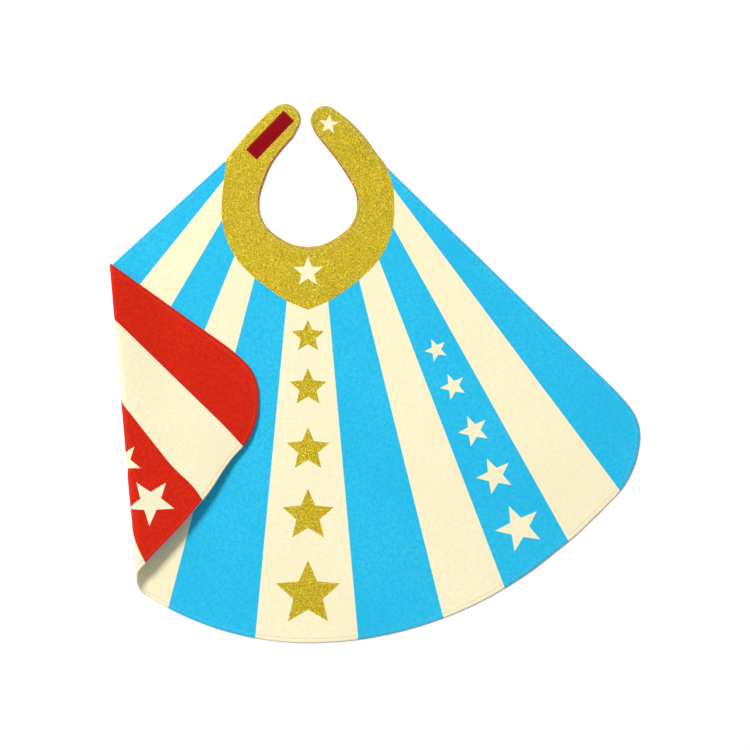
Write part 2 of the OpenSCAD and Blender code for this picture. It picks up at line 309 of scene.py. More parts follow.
# The main part and the flap each reach to the middle of the roll
main_top, main_hem = ends_on(main_loop, FOLD, FOLD_DIR)
flap_top, flap_hem = ends_on(flap_loop, flap_point, flap_dir)
middle_top, middle_hem = (main_top + flap_top) / 2, (main_hem + flap_hem) / 2


def with_points_between(loop, first, second, extra):
    """Puts extra points into a loop on the stretch that joins first and second."""
    i, j = nearest(loop, first), nearest(loop, second)
    if (i + 1) % len(loop) == j:
        return np.insert(loop, i + 1, extra, axis=0)
    return np.insert(loop, j + 1, extra[::-1], axis=0)


main_loop = with_points_between(main_loop, main_top, main_hem, [middle_top, middle_hem])
flap_loop = with_points_between(flap_loop, flap_top, flap_hem, [middle_top, middle_hem])

# The tabs' pieces reach a little past their hinge lines into the neck band
hinge_cuts = []
for side, tab in SIDES.items():
    point, direction, _ = HINGES[side]
    near = tab[is_on_line(tab, point, direction, 0.6)]
    order = np.argsort((near - point) @ direction)
    tab_ends = near[order[0]], near[order[-1]]
    on_main = is_on_line(main_loop, point, direction, 0.2)
    on_main &= np.sign(main_loop[:, 0]) == side
    i, j = sorted(np.flatnonzero(on_main))[:2]
    if j - i > 1:
        i, j = j, i
    before, after = (i - 1) % len(main_loop), (j + 1) % len(main_loop)
    cut = []
    for at, other in ((i, before), (j, after)):
        step = main_loop[other] - main_loop[at]
        share = min(CUT_MOST, HINGE_BAND / np.linalg.norm(step))
        cut.append(main_loop[at] + step * share)
    main_loop[i], main_loop[j] = cut
    a, b = tab_ends
    if np.linalg.norm(cut[0] - a) > np.linalg.norm(cut[1] - a):
        cut.reverse()
    SIDES[side] = with_points_between(tab, a, b, cut)
    hinge_cuts.append(tuple(cut))
LOOPS = {"main": main_loop, "flap": flap_loop, "left_tab": SIDES[-1], "right_tab": SIDES[1]}


def is_cut(a, b):
    """A stretch of a loop where one piece of cloth meets the next."""
    for p, q in [(middle_top, middle_hem)] + hinge_cuts:
        if {nearest(np.array([a, b]), p), nearest(np.array([a, b]), q)} == {0, 1}:
            if min(np.linalg.norm(a - p), np.linalg.norm(b - p)) < SAME_POINT:
                if min(np.linalg.norm(a - q), np.linalg.norm(b - q)) < SAME_POINT:
                    return True
    return False


def edge_runs(loop):
    """The runs of a loop that are real edges of the cape, as open polylines."""
    n = len(loop)
    cuts = [k for k in range(n) if is_cut(loop[k], loop[(k + 1) % n])]
    runs = []
    for a, b in zip(cuts, cuts[1:] + [cuts[0] + n]):
        runs.append(np.array([loop[k % n] for k in range(a + 1, b + 1)]))
    return [r for r in runs if len(r) > 1]


def segments(runs):
    """The stretches of some polylines, each as its two ends."""
    return np.concatenate([np.stack([r[:-1], r[1:]], axis=1) for r in runs])


def inward_normals(run):
    """Unit normals along a run, towards the cloth."""
    step = np.gradient(run, axis=0)
    normal = np.column_stack([-step[:, 1], step[:, 0]])
    return normal / np.linalg.norm(normal, axis=1)[:, None]


RUNS = {name: edge_runs(loop) for name, loop in LOOPS.items()}
EDGES = segments([run for runs in RUNS.values() for run in runs])


def segment_distance(xy, pairs):
    """Distance of each point from the nearest of some segments."""
    best = np.full(len(xy), 1e9)
    a, d = pairs[:, 0], pairs[:, 1] - pairs[:, 0]
    length = np.maximum((d * d).sum(1), 1e-12)
    for k in range(0, len(xy), 4000):
        p = xy[k:k + 4000][:, None]
        t = np.clip(((p - a) * d).sum(2) / length, 0, 1)
        best[k:k + 4000] = np.linalg.norm(p - a - d * t[..., None], axis=2).min(1)
    return best


def edge_distance(xy):
    """Distance of each point from the nearest real edge."""
    return segment_distance(xy, EDGES)


# The free hem of the flap, from its rounded corner on, and its lower part
flap_edges = segments(RUNS["flap"])
FREE_HEM = flap_edges[(flap_edges.mean(1) - FOLD) @ FOLD_DIR > LIFT_FROM]
LOW_HEM = flap_edges[(flap_edges.mean(1) - FOLD) @ FOLD_DIR > HEM_RIM_FROM]
FLAP_MIDDLE = LOOPS["flap"].mean(0)


def hole_edges():
    """The edges round the neck opening, where the reverse cloth shows as a thin rim."""
    found = []
    for name in ("main", "left_tab", "right_tab"):
        for run in RUNS[name]:
            step = run[1:] - run[:-1]
            outward = step[:, 1] / np.linalg.norm(step, axis=1)
            side = -1 if name == "left_tab" else 1
            if name == "main":
                keep = np.full(len(step), np.abs(run[:, 0]).max() < NECK_HALF)
            else:
                keep = outward * side < TAB_FACES_IN
            keep &= run[1:, 1] < RIM_TOP
            found.append(segments([run])[keep])
    return np.concatenate(found)


HOLE = hole_edges()


def on_rim(xy, share=1.0):
    """Points on the rim, or on the given share of its width. It's narrower below the throat."""
    return segment_distance(xy, HOLE) < share * np.where(xy[:, 1] < 0, RIM_THROAT, RIM)


def at_hinges(xy, reach):
    """Points of the neck band within reach of a tab's fold line."""
    found = np.zeros(len(xy), bool)
    for side, (point, way, normal) in HINGES.items():
        ends = [c for c in hinge_cuts if np.sign(c[0][0]) == side][0]
        wide = max(float((e - point) @ way) for e in ends)
        along, q = (xy - point) @ way, (xy - point) @ normal
        found |= (np.abs(q) < reach) & (along > -6) & (along < wide + 6)
    return found


# -------------------- pattern
def spread(xy):
    """How far a point has the flap's print instead of the main part's, 0 to 1."""
    return smooth(roll_share(xy))


def pattern_angle(xy):
    """The print's own angle from the centre line, positive to the right."""
    w = spread(xy)
    apex = APEX + w[:, None] * FLAP_MOVE
    d = xy - apex
    angle = np.degrees(np.arctan2(d[:, 0], -d[:, 1]))
    left = -(-angle - FLAP_TURN * w) / (1 + LEFT_SPREAD * (1 - w))
    return np.where(angle < 0, left, angle)


def pattern_point(radius, angle):
    """Where a point of the print lies in the flat cape. A negative angle is on the left."""
    radius = np.atleast_1d(np.asarray(radius, float))
    angle = np.broadcast_to(np.asarray(angle, float), radius.shape)
    w = np.zeros(len(radius))
    for _ in range(STRIPE_ROUNDS):
        turned = np.where(angle < 0, angle * (1 + LEFT_SPREAD * (1 - w)) - FLAP_TURN * w, angle)
        way = np.stack([np.sin(np.radians(turned)), -np.cos(np.radians(turned))], axis=1)
        xy = APEX + np.where(angle < 0, w, 0)[:, None] * FLAP_MOVE + radius[:, None] * way
        w = 0.5 * w + 0.5 * spread(xy)
    return xy


def star(centre, radius, lean):
    """Outline of a five-pointed star whose first tip leans from +Y, in degrees to the left."""
    made = []
    for k in range(10):
        r = radius if k % 2 == 0 else radius * STAR_WAIST
        a = math.radians(90 + lean + 36 * k)
        made.append([centre[0] + r * math.cos(a), centre[1] + r * math.sin(a)])
    return np.array(made)


stripe_lines = [pattern_point(STRIPE_RADII, side * a) for a in STRIPES for side in (-1, 1)]
stripe_stars = []
for side in (-1, 1):
    for radius, size in STARS:
        if side < 0:
            radius += LEFT_STAR_ON
        angle = STAR_ANGLE if side > 0 else -LEFT_STAR_ANGLE
        centre = pattern_point(radius, angle)[0]
        towards = pattern_point(radius - 5, angle)[0] - centre
        lean = math.degrees(math.atan2(towards[1], towards[0])) - 90
        stripe_stars.append(star(centre, size, lean))


def top_of(node):
    """The height of a CAD solid's top, in millimetres."""
    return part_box(node)[1].z * MM


GLITTER_LOOPS = {
    "main": [outline("glitter_collar", level=top_of("glitter_collar"))],
    "flap": [],
    "left_tab": [outline("left_tab_glitter", level=top_of("left_tab_glitter"))],
    "right_tab": [outline("right_tab_glitter", LAY_TAB, top_of("left_tab_glitter"))],
}
glitter_stars = [outline(node, level=top_of(node)) for node in STAR_NODES]
PLAIN_STARS = {
    "main": [star(*COLLAR_STAR)], "flap": [], "left_tab": [], "right_tab": [star(*TAB_STAR)]}


# -------------------- shape at rest
def waves(xy):
    """Gentle unevenness of cloth laid down by hand, always upwards from the surface."""
    made = np.zeros(len(xy))
    for k, (x, y) in enumerate(xy):
        v = sum(share * noise.noise(Vector((x / wide, y / tall, seed)))
                for share, wide, tall, seed in WAVES)
        made[k] = WAVE_MEAN + WAVE_SWING * v
    return np.clip(made, 0, WAVE_MOST) * WAVE_HIGH


def turned_points(matrix, points):
    """Points in millimetres, moved by a matrix in metres."""
    return points @ matrix[:3, :3].T + matrix[:3, 3] * MM


def on_main(xy, rise):
    """The main part lies flat. The right tab tilts up from its fold line by a soft bend."""
    z = HALF + rise
    q = (xy - HINGES[1][0]) @ HINGES[1][2]
    bend = (np.clip(q, -HINGE_BAND, HINGE_BAND) + HINGE_BAND) ** 2 / (4 * HINGE_BAND)
    soft = bend + np.maximum(q - HINGE_BAND, 0)
    lift = np.where(xy[:, 0] > 0, soft * math.tan(TILT), 0)
    return np.column_stack([xy, z + lift])


def on_flap(xy, rise):
    """The flap is the CAD's plane, with a sag above and a shaped free hem below."""
    flat = np.column_stack([xy, np.full(len(xy), TOP)])
    height = turned_points(REFOLD, flat)[:, 2]
    along, out, high = fold_coordinates(xy)
    past_roll = out - 1.5 * high
    sag = np.maximum(height - TOP - WAVE_HIGH - SAG_GAP, 0) * SAG_SHARE
    sag = sag * smooth(past_roll / SAG_REACH) * smooth((SAG_TO - along) / SAG_FADE)
    free = smooth(1 - segment_distance(xy, FREE_HEM) / LIFT_REACH)
    lifted = free * smooth(past_roll / LIFT_REACH) * smooth((along - LIFT_FROM) / LIFT_FADE)
    pulled = HEM_PULL * smooth((along - PULL_FROM) / PULL_RISE)
    pulled = pulled * smooth((PULL_TO - along) / PULL_FADE)
    pushed = HEM_PUSH * smooth((along - PUSH_FROM) / PUSH_RISE)
    to_middle = FLAP_MIDDLE - xy
    to_middle = to_middle / np.linalg.norm(to_middle, axis=1)[:, None]
    z = HALF + rise + sag - lifted * HEM_LIFT
    moved = to_middle * pulled[:, None] + FOLD_DIR * pushed[:, None]
    return turned_points(REFOLD, np.column_stack([xy + moved * free[:, None], z]))


def place(xy, offset):
    """Flat points and their offsets from the mid-surface, in metres in the frame at rest."""
    xy = np.asarray(xy, float)
    offset = np.broadcast_to(np.asarray(offset, float), (len(xy),))
    wave = waves(xy)
    share = roll_share(xy)
    made = on_main(xy, wave + offset)
    flap = share >= 1
    if flap.any():
        made[flap] = on_flap(xy[flap], -wave[flap] * FLAP_WAVE + offset[flap])
    roll = (share > 0) & (share < 1)
    if roll.any():
        p, u, o, wv = xy[roll], share[roll][:, None], offset[roll], wave[roll]
        along, out, high = fold_coordinates(p)
        foot = p - (out + high / 2)[:, None] * FOLD_OUT
        crest = p - (out - 1.5 * high)[:, None] * FOLD_OUT
        p0, p3 = on_main(foot, wv), on_flap(crest, -wv * FLAP_WAVE)
        reach = ((high / 2 + HALF) * 4 / 3)[:, None]
        outward = np.append(FOLD_OUT, 0)
        back = on_flap(crest - FOLD_OUT, -wv * FLAP_WAVE) - p3
        back /= np.linalg.norm(back, axis=1)[:, None]
        p1, p2 = p0 + outward * reach, p3 + back * reach
        v = 1 - u
        at = v ** 3 * p0 + 3 * v * v * u * p1 + 3 * v * u * u * p2 + u ** 3 * p3
        way = 3 * v * v * (p1 - p0) + 6 * v * u * (p2 - p1) + 3 * u * u * (p3 - p2)
        normal = np.cross(way, np.append(FOLD_DIR, 0))
        normal /= np.linalg.norm(normal, axis=1)[:, None]
        made[roll] = at + normal * o[:, None]
    return made / MM


# -------------------- cloth layers
def outer_offset(distance):
    """How far the face stands from the mid-surface, by distance from the edge."""
    t = np.clip(1 - distance / EDGE_ROUND, 0, 1)
    rounded = HALF * np.sqrt(np.maximum(1 - t * t, 0.01))
    dip = STITCH_DIP * np.exp(-((distance - STITCH_IN) / STITCH_DIP_WIDE) ** 2)
    lift = ALLOWANCE_LIFT * smooth((ALLOWANCE - distance) / ALLOWANCE_SOFT)
    lift = lift * smooth(distance / ALLOWANCE_RISE)
    return rounded - dip + lift


def compact(tris, count):
    """The points that some triangles use, and the triangles renumbered to them."""
    used = np.unique(tris)
    renumber = np.full(count, -1)
    renumber[used] = np.arange(len(used))
    return used, renumber[tris]


def doubled_area(xy, tris):
    """Twice each triangle's area, positive where its corners run anticlockwise."""
    a, b, c = xy[tris[:, 0]], xy[tris[:, 1]], xy[tris[:, 2]]
    return np.cross(b - a, c - a)


def edge_rings(name):
    """Points in rings along the real edges, close together where the cloth's face curves."""
    found = []
    for run in RUNS[name]:
        run = resampled(run, EDGE_STEP, False)
        normal = inward_normals(run)
        for ring in RINGS[1:]:
            moved = run + normal * ring
            found.append(moved[edge_distance(moved) > ring - RING_SLACK])
    return found


def roll_points(loop):
    """Points in rows round the rolled edge, clear of the edges and of the cut between pieces."""
    rolled = []
    for t in ROLL_ALONG:
        high = roll_height(t)
        for u in ROLL_ROUND:
            rolled.append(FOLD + FOLD_DIR * t + FOLD_OUT * (2 * high * u - high / 2))
    rolled = np.array(rolled)
    rolled = rolled[inside(rolled, loop)]
    rolled = rolled[edge_distance(rolled) > ROLL_EDGE_GAP]
    split = middle_hem - middle_top
    split = split / np.linalg.norm(split)
    away = np.abs((rolled - middle_top) @ np.array([split[1], -split[0]]))
    return rolled[away > SPLIT_GAP]


def grid_points(loop):
    """A triangular grid over the inside of a loop."""
    low, high = loop.min(0), loop.max(0)
    grid = []
    for k, y in enumerate(np.arange(low[1], high[1], GRID * ROW_SHARE)):
        x = np.arange(low[0] + (k % 2) * GRID / 2, high[0], GRID)
        grid.append(np.column_stack([x, np.full(len(x), y)]))
    grid = np.concatenate(grid)
    grid = grid[inside(grid, loop)]
    return grid[edge_distance(grid) > RINGS[-1] + GRID_GAP]


def triangulated(name):
    """Points, triangles and each point's distance from the edge, for one piece's flat area."""
    loop = LOOPS[name]
    points = [tuple(p) for p in resampled(loop, EDGE_STEP)]
    edges = [(k, (k + 1) % len(points)) for k in range(len(points))]

    def add_line(line, is_closed):
        line = resampled(line, EDGE_STEP, is_closed)
        keep = inside(line, loop)
        first = len(points)
        points.extend(tuple(p) for p in line)
        for a in range(len(line) if is_closed else len(line) - 1):
            b = (a + 1) % len(line)
            if keep[a] or keep[b]:
                edges.append((first + a, first + b))

    if name in ("main", "flap"):
        for line in stripe_lines:
            add_line(line, False)
        for shape in stripe_stars:
            add_line(shape, True)
    if name == "main":
        for shape in glitter_stars:
            add_line(shape, True)
    for shape in GLITTER_LOOPS[name] + PLAIN_STARS[name]:
        add_line(shape, True)

    free = edge_rings(name)
    grid = grid_points(loop)
    if name in ("main", "flap"):
        share = roll_share(grid)
        grid = grid[(share < -ROLL_CLEAR) | (share > 1 + ROLL_CLEAR)]
        free.append(roll_points(loop))
    free = np.concatenate(free + [grid])
    points.extend(tuple(p) for p in free[inside(free, loop)])
    verts, _, faces, _, _, _ = delaunay_2d_cdt(
        [Vector(p) for p in points], edges, [], 0, CDT_EPSILON)
    xy, tris = np.array([tuple(v) for v in verts]), np.array(faces)
    size = 0.5 * np.abs(doubled_area(xy, tris))
    tris = tris[inside(xy[tris].mean(1), loop) & (size > SLIVER)]
    turned = doubled_area(xy, tris) < 0
    tris[turned] = tris[turned][:, ::-1]
    used, tris = compact(tris, len(xy))
    xy = xy[used]
    return {"xy": xy, "tris": tris, "edge": edge_distance(xy), "middle": xy[tris].mean(1)}


def add_object(name, co, faces, flat, materials, kinds=None, sharp=None):
    """A mesh object in the scene. Its materials read each point's place in the flat cloth."""
    mesh = bpy.data.meshes.new(name)
    mesh.from_pydata(co.tolist(), [], faces)
    for m in materials:
        mesh.materials.append(m)
    if kinds is not None:
        mesh.polygons.foreach_set("material_index", kinds)
    attribute = mesh.attributes.new("flat", "FLOAT_VECTOR", "POINT")
    attribute.data.foreach_set("vector", (flat / MM).astype(np.float32).ravel())
    mesh.polygons.foreach_set("use_smooth", [True] * len(mesh.polygons))
    mesh.update()
    if sharp is not None:
        mesh.set_sharp_from_angle(angle=sharp)
    obj = bpy.data.objects.new(name, mesh)
    bpy.context.scene.collection.objects.link(obj)
    return obj


def shell(name, flat, tris, low, high, kinds, materials):
    """A closed thin piece over some triangles of the flat area, between two offsets."""
    used, t = compact(tris, len(flat["xy"]))
    xy, n = flat["xy"][used], len(used)
    co = np.concatenate([place(xy, high[used]), place(xy, low[used])])
    pairs = {}
    for k, tri in enumerate(t):
        for a, b in ((tri[0], tri[1]), (tri[1], tri[2]), (tri[2], tri[0])):
            pairs[(a, b)] = k
    walls = [(a, b, k) for (a, b), k in pairs.items() if (b, a) not in pairs]
    faces = [tuple(f) for f in t] + [tuple(f[::-1] + n) for f in t]
    faces += [(b, a, a + n, b + n) for a, b, _ in walls]
    kinds = np.concatenate([kinds, kinds, [kinds[k] for _, _, k in walls]]).astype(np.int32)
    at = np.column_stack([np.concatenate([xy, xy]), np.concatenate([high[used], low[used]])])
    return add_object(name, co, faces, at, materials, kinds, CLOTH_SHARP)


# -------------------- materials
def linear(r, g, b):
    """An sRGB colour, 0 to 255, as the linear colour that a shader takes."""
    made = []
    for c in (r, g, b):
        c /= 255
        made.append(c / 12.92 if c <= 0.04045 else ((c + 0.055) / 1.055) ** 2.4)
    return (*made, 1)


class Nodes:
    """A material being put together."""

    def __init__(self, name):
        self.material = bpy.data.materials.new(name)
        self.material.use_nodes = True
        self.tree = self.material.node_tree
        self.shader = self.tree.nodes["Principled BSDF"]

    def add(self, kind, **values):
        node = self.tree.nodes.new(kind)
        for key, value in values.items():
            setattr(node, key, value)
        return node

    def link(self, source, target):
        self.tree.links.new(source, target)

    def flat(self):
        """The place of each point in the flat cloth, in metres."""
        return self.add("ShaderNodeAttribute", attribute_name="flat").outputs["Vector"]

    def noise(self, vector, scale, detail=2.0):
        node = self.add("ShaderNodeTexNoise")
        node.inputs["Scale"].default_value = scale
        node.inputs["Detail"].default_value = detail
        self.link(vector, node.inputs["Vector"])
        return node.outputs["Fac"]

    def maths(self, operation, a, b):
        node = self.add("ShaderNodeMath", operation=operation)
        for socket, value in zip(node.inputs, (a, b)):
            if isinstance(value, (int, float)):
                socket.default_value = value
            else:
                self.link(value, socket)
        return node.outputs[0]

    def spanned(self, value, low, high, to_low, to_high):
        node = self.add("ShaderNodeMapRange")
        self.link(value, node.inputs["Value"])
        ends = {"From Min": low, "From Max": high, "To Min": to_low, "To Max": to_high}
        for key, number in ends.items():
            node.inputs[key].default_value = number
        return node.outputs["Result"]

    def mixed(self, factor, a, b):
        """Two colours mixed. The numbers are the Mix node's sockets for colours."""
        node = self.add("ShaderNodeMix", data_type="RGBA")
        for key, value in ((0, factor), (6, a), (7, b)):
            if isinstance(value, (int, float, tuple)):
                node.inputs[key].default_value = value
            else:
                self.link(value, node.inputs[key])
        return node.outputs[2]

    def bump(self, height, strength, distance, before=None):
        node = self.add("ShaderNodeBump")
        node.inputs["Strength"].default_value = strength
        node.inputs["Distance"].default_value = distance
        self.link(height, node.inputs["Height"])
        if before is not None:
            self.link(before, node.inputs["Normal"])
        return node.outputs["Normal"]


def weave_height(m, vector, pitch):
    """Plain weave: two crossing sets of threads, as a height from 0 to 1."""
    split = m.add("ShaderNodeSeparateXYZ")
    m.link(vector, split.inputs[0])
    turns = 2 * math.pi / pitch
    x = m.maths("SINE", m.maths("MULTIPLY", split.outputs[0], turns), 0)
    y = m.maths("SINE", m.maths("MULTIPLY", split.outputs[1], turns), 0)
    return m.maths("ADD", m.maths("MULTIPLY", m.maths("MULTIPLY", x, y), 0.5), 0.5)


def cloth_material(name, colour, deep, fibre):
    """Brushed cotton printed in one colour: a fine weave, fibres, and soft mottling."""
    colour, deep, fibre = linear(*colour), linear(*deep), linear(*fibre)
    m = Nodes(name)
    flat = m.flat()
    weave = weave_height(m, flat, 0.0009)
    fibres = m.noise(flat, 1500.0, 3.0)
    mottle = m.noise(flat, 260.0, 4.0)
    broad = m.noise(flat, 7.0, 2.0)
    base = m.mixed(m.spanned(broad, 0.3, 0.7, 0.0, 0.6), colour, deep)
    base = m.mixed(m.spanned(mottle, 0.35, 0.65, 0.0, 0.9), base, deep)
    base = m.mixed(m.spanned(fibres, 0.55, 0.8, 0.0, 0.3), base, fibre)
    # Painted shade: the weave's low points are mixed towards the deep colour, as shade between the threads.
    base = m.mixed(m.spanned(weave, 0.0, 1.0, 0.10, 0.0), base, deep)
    m.link(base, m.shader.inputs["Base Color"])
    m.link(m.spanned(mottle, 0.3, 0.7, 0.82, 0.95), m.shader.inputs["Roughness"])
    m.shader.inputs["Specular IOR Level"].default_value = 0.18
    m.shader.inputs["Sheen Weight"].default_value = 0.07
    m.shader.inputs["Sheen Roughness"].default_value = 0.5
    normal = m.bump(fibres, 0.35, 0.0003)
    m.link(m.bump(weave, 0.4, 0.00025, normal), m.shader.inputs["Normal"])
    return m.material


def flakes(m, vector, scale):
    """Three random numbers for each flake of one size."""
    cells = m.add("ShaderNodeTexVoronoi", voronoi_dimensions="2D")
    cells.inputs["Scale"].default_value = scale
    m.link(vector, cells.inputs["Vector"])
    tone = m.add("ShaderNodeSeparateColor")
    m.link(cells.outputs["Color"], tone.inputs[0])
    return tone.outputs


def glitter_material():
    """Gold glitter: small tilted, shiny flakes with painted glints and shade on a gold ground."""
    m = Nodes("gold_glitter")
    flat = m.flat()
    small, big = flakes(m, flat, 2200.0), flakes(m, flat, 1050.0)
    broad = m.noise(flat, 45.0, 3.0)
    # Painted glints and shade: each flake's tone runs dark to pale as if tilted to or from the light.
    shade_tone, gold, glint_tone = linear(150, 122, 0), linear(222, 196, 8), linear(255, 242, 66)
    base = m.mixed(m.spanned(small[0], 0.0, 0.7, 0.0, 1.0), shade_tone, gold)
    base = m.mixed(m.spanned(big[1], 0.72, 0.95, 0.0, 0.7), base, glint_tone)
    base = m.mixed(m.spanned(big[1], 0.05, 0.35, 0.75, 0.0), base, linear(134, 108, 0))
    base = m.mixed(m.spanned(broad, 0.35, 0.7, 0.0, 0.3), base, linear(196, 158, 14))
    m.link(base, m.shader.inputs["Base Color"])
    m.link(m.spanned(small[1], 0.0, 1.0, 0.3, 0.6), m.shader.inputs["Roughness"])
    m.shader.inputs["Metallic"].default_value = 0.4
    heights = m.maths("ADD", small[2], big[2])
    m.link(m.bump(heights, 0.55, 0.0004), m.shader.inputs["Normal"])
    return m.material


def thread_material(name, colour, deep):
    """Two-ply sewing thread: a tight twist, and a slight change of tone."""
    colour, deep = linear(*colour), linear(*deep)
    m = Nodes(name)
    flat = m.flat()
    twist = m.add("ShaderNodeTexWave", wave_type="BANDS", bands_direction="DIAGONAL")
    twist.inputs["Scale"].default_value = 900.0
    m.link(flat, twist.inputs["Vector"])
    # Painted shade: the twist's grooves are mixed towards the deep colour.
    base = m.mixed(m.spanned(twist.outputs["Fac"], 0.0, 1.0, 0.0, 0.6), colour, deep)
    base = m.mixed(m.spanned(m.noise(flat, 80.0), 0.4, 0.7, 0.0, 0.3), base, deep)
    m.link(base, m.shader.inputs["Base Color"])
    m.shader.inputs["Roughness"].default_value = 0.55
    m.shader.inputs["Sheen Weight"].default_value = 0.2
    m.link(m.bump(twist.outputs["Fac"], 0.5, 0.0001), m.shader.inputs["Normal"])
    return m.material


def tape_material(name, colour, deep):
    """Woven nylon tape ground, with the pile's own speckle."""
    colour, deep = linear(*colour), linear(*deep)
    m = Nodes(name)
    flat = m.flat()
    weave = weave_height(m, flat, 0.0011)
    speckle = m.noise(flat, 900.0, 3.0)
    base = m.mixed(m.spanned(speckle, 0.35, 0.7, 0.0, 1.0), colour, deep)
    # Painted shade: the weave's low points are mixed towards the deep colour, as shade between the threads.
    base = m.mixed(m.spanned(weave, 0.0, 1.0, 0.35, 0.0), base, deep)
    m.link(base, m.shader.inputs["Base Color"])
    m.link(m.spanned(speckle, 0.3, 0.7, 0.6, 0.85), m.shader.inputs["Roughness"])
    m.shader.inputs["Specular IOR Level"].default_value = 0.12
    m.link(m.bump(weave, 0.5, 0.0003), m.shader.inputs["Normal"])
    return m.material


BLUE = cloth_material("blue_print", (50, 193, 230), (22, 175, 221), (104, 208, 238))
CREAM = cloth_material("cream_print", (246, 238, 204), (238, 227, 186), (253, 249, 230))
RED = cloth_material("red_print", (213, 36, 2), (191, 23, 0), (224, 62, 20))
CREAM_BACK = cloth_material("cream_reverse", (241, 234, 203), (232, 222, 184), (248, 244, 226))
GOLD_GROUND = cloth_material("gold_ground", (196, 168, 40), (170, 140, 26), (220, 196, 80))
INTERFACING = cloth_material("interfacing", (236, 236, 230), (222, 222, 214), (250, 250, 248))
GLITTER = glitter_material()
THREAD_FRONT = thread_material("thread_front", (158, 200, 206), (122, 164, 172))
THREAD_BACK = thread_material("thread_back", (204, 92, 66), (176, 62, 42))
TAPE = tape_material("hook_tape", (164, 0, 20), (138, 0, 12))
TAPE_THREAD = thread_material("tape_thread", (120, 4, 20), (80, 0, 10))


# -------------------- pieces
def in_any(points, loops):
    """Which points lie inside any of some loops."""
    found = np.zeros(len(points), bool)
    for loop in loops:
        found |= inside(points, loop)
    return found


def stripe_kind(points):
    """0 on the coloured stripes of the print and 1 on the cream ones and the cream stars."""
    angle = np.abs(pattern_angle(points))
    band = np.searchsorted(STRIPES, angle)
    return np.where((band % 2 == 0) | in_any(points, stripe_stars), 1, 0)


def body_join(obj, name):
    """Bakes each piece's placement into its mesh; every piece is treated the same."""
    if name == "main":
        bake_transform(obj)
    elif name == "flap":
        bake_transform(obj)
    else:
        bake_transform(obj)


def declare(flat, tris):
    """Works out a piece of cloth's points and cut area, and keeps neither."""
    xy = flat["xy"][np.unique(tris)]
    area = 0.5 * np.abs(doubled_area(flat["xy"], tris)).sum() / MM ** 2


def glitter_print(node, flat, tris, outer):
    """A layer of glitter on the front's face, in a CAD solid's place."""
    obj = shell(f"{node}_print", flat, tris, outer - GLITTER_SUNK, outer + GLITTER_HIGH,
                np.zeros(len(tris)), [GLITTER])
    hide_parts(node)
    return obj


REPLACED = {
    "main": (["front_cloth"], ["back_cloth"]),
    "flap": (["flap_front_cloth", "roll_front_cloth"], ["flap_back_cloth", "roll_back_cloth"]),
    "left_tab": (["left_tab_front_cloth"], ["left_tab_back_cloth"]),
    "right_tab": (["right_tab_front_cloth"], ["right_tab_back_cloth"]),
}
GLITTER_NODE = {
    "main": "glitter_collar", "left_tab": "left_tab_glitter", "right_tab": "right_tab_glitter"}
INNER_NODE = {
    "main": "neck_interfacing", "left_tab": "left_tab_interfacing",
    "right_tab": "right_tab_interfacing"}
flats = {name: triangulated(name) for name in LOOPS}
for name, flat in flats.items():
    outer = outer_offset(flat["edge"])
    middle, tris = flat["middle"], flat["tris"]
    zero = np.zeros(len(outer))
    star_here = in_any(middle, PLAIN_STARS[name])
    band = in_any(middle, GLITTER_LOOPS[name]) | at_hinges(middle, HINGE_BAND + 1) | ("tab" in name)
    rim = on_rim(middle)
    shining = band & ~star_here & ~rim & (edge_distance(middle) > GLITTER_INSET)
    # Material numbers: blue, cream, gold ground on the front; red, cream, blue on the back
    front_kinds = np.where(band & ~star_here, 2, np.where(star_here, 1, stripe_kind(middle)))
    back_kinds = np.where(band, 0, stripe_kind(middle))
    if name == "flap":
        turned_in = (segment_distance(middle, LOW_HEM) < HEM_RIM) & (back_kinds == 0)
        back_kinds = np.where(turned_in, 2, back_kinds)
    lip = np.where(on_rim(flat["xy"], RIM_LIP), outer, 0)
    back = shell(f"{name}_back", flat, tris, -outer, lip, back_kinds, [RED, CREAM_BACK, BLUE])
    front = shell(f"{name}_front", flat, tris[~rim], zero, outer, front_kinds[~rim],
                  [BLUE, CREAM, GOLD_GROUND])
    front_nodes, back_nodes = REPLACED[name]
    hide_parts(*front_nodes)
    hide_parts(*back_nodes)
    declare(flat, tris)
    declare(flat, tris[~rim])
    body_join(front, name)
    body_join(back, name)
    if name in GLITTER_NODE:
        body_join(glitter_print(GLITTER_NODE[name], flat, tris[shining], outer), name)
        deep = shining & (flat["edge"][tris].min(1) > INNER_INSET)
        inner = shell(f"{INNER_NODE[name]}_layer", flat, tris[deep], zero - INNER_HALF,
                      zero + INNER_HALF, np.zeros(int(deep.sum())), [INTERFACING])
        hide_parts(INNER_NODE[name])
        body_join(inner, name)
    if name == "main":
        for node, loop in zip(STAR_NODES, glitter_stars):
            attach(glitter_print(node, flat, tris[inside(middle, loop)], outer), "cape")


# -------------------- stitches
STITCH_SIDES = 6
# Along a stitch: the share of its length, and its width and rise as shares of the thread's radius
STITCH_STATIONS = [(0.0, 0.15, -0.5), (0.12, 0.75, 0.0), (0.35, 1.0, 0.35), (0.65, 1.0, 0.35),
                   (0.88, 0.75, 0.0), (1.0, 0.15, -0.5)]
STITCH_FIRST = 0.5


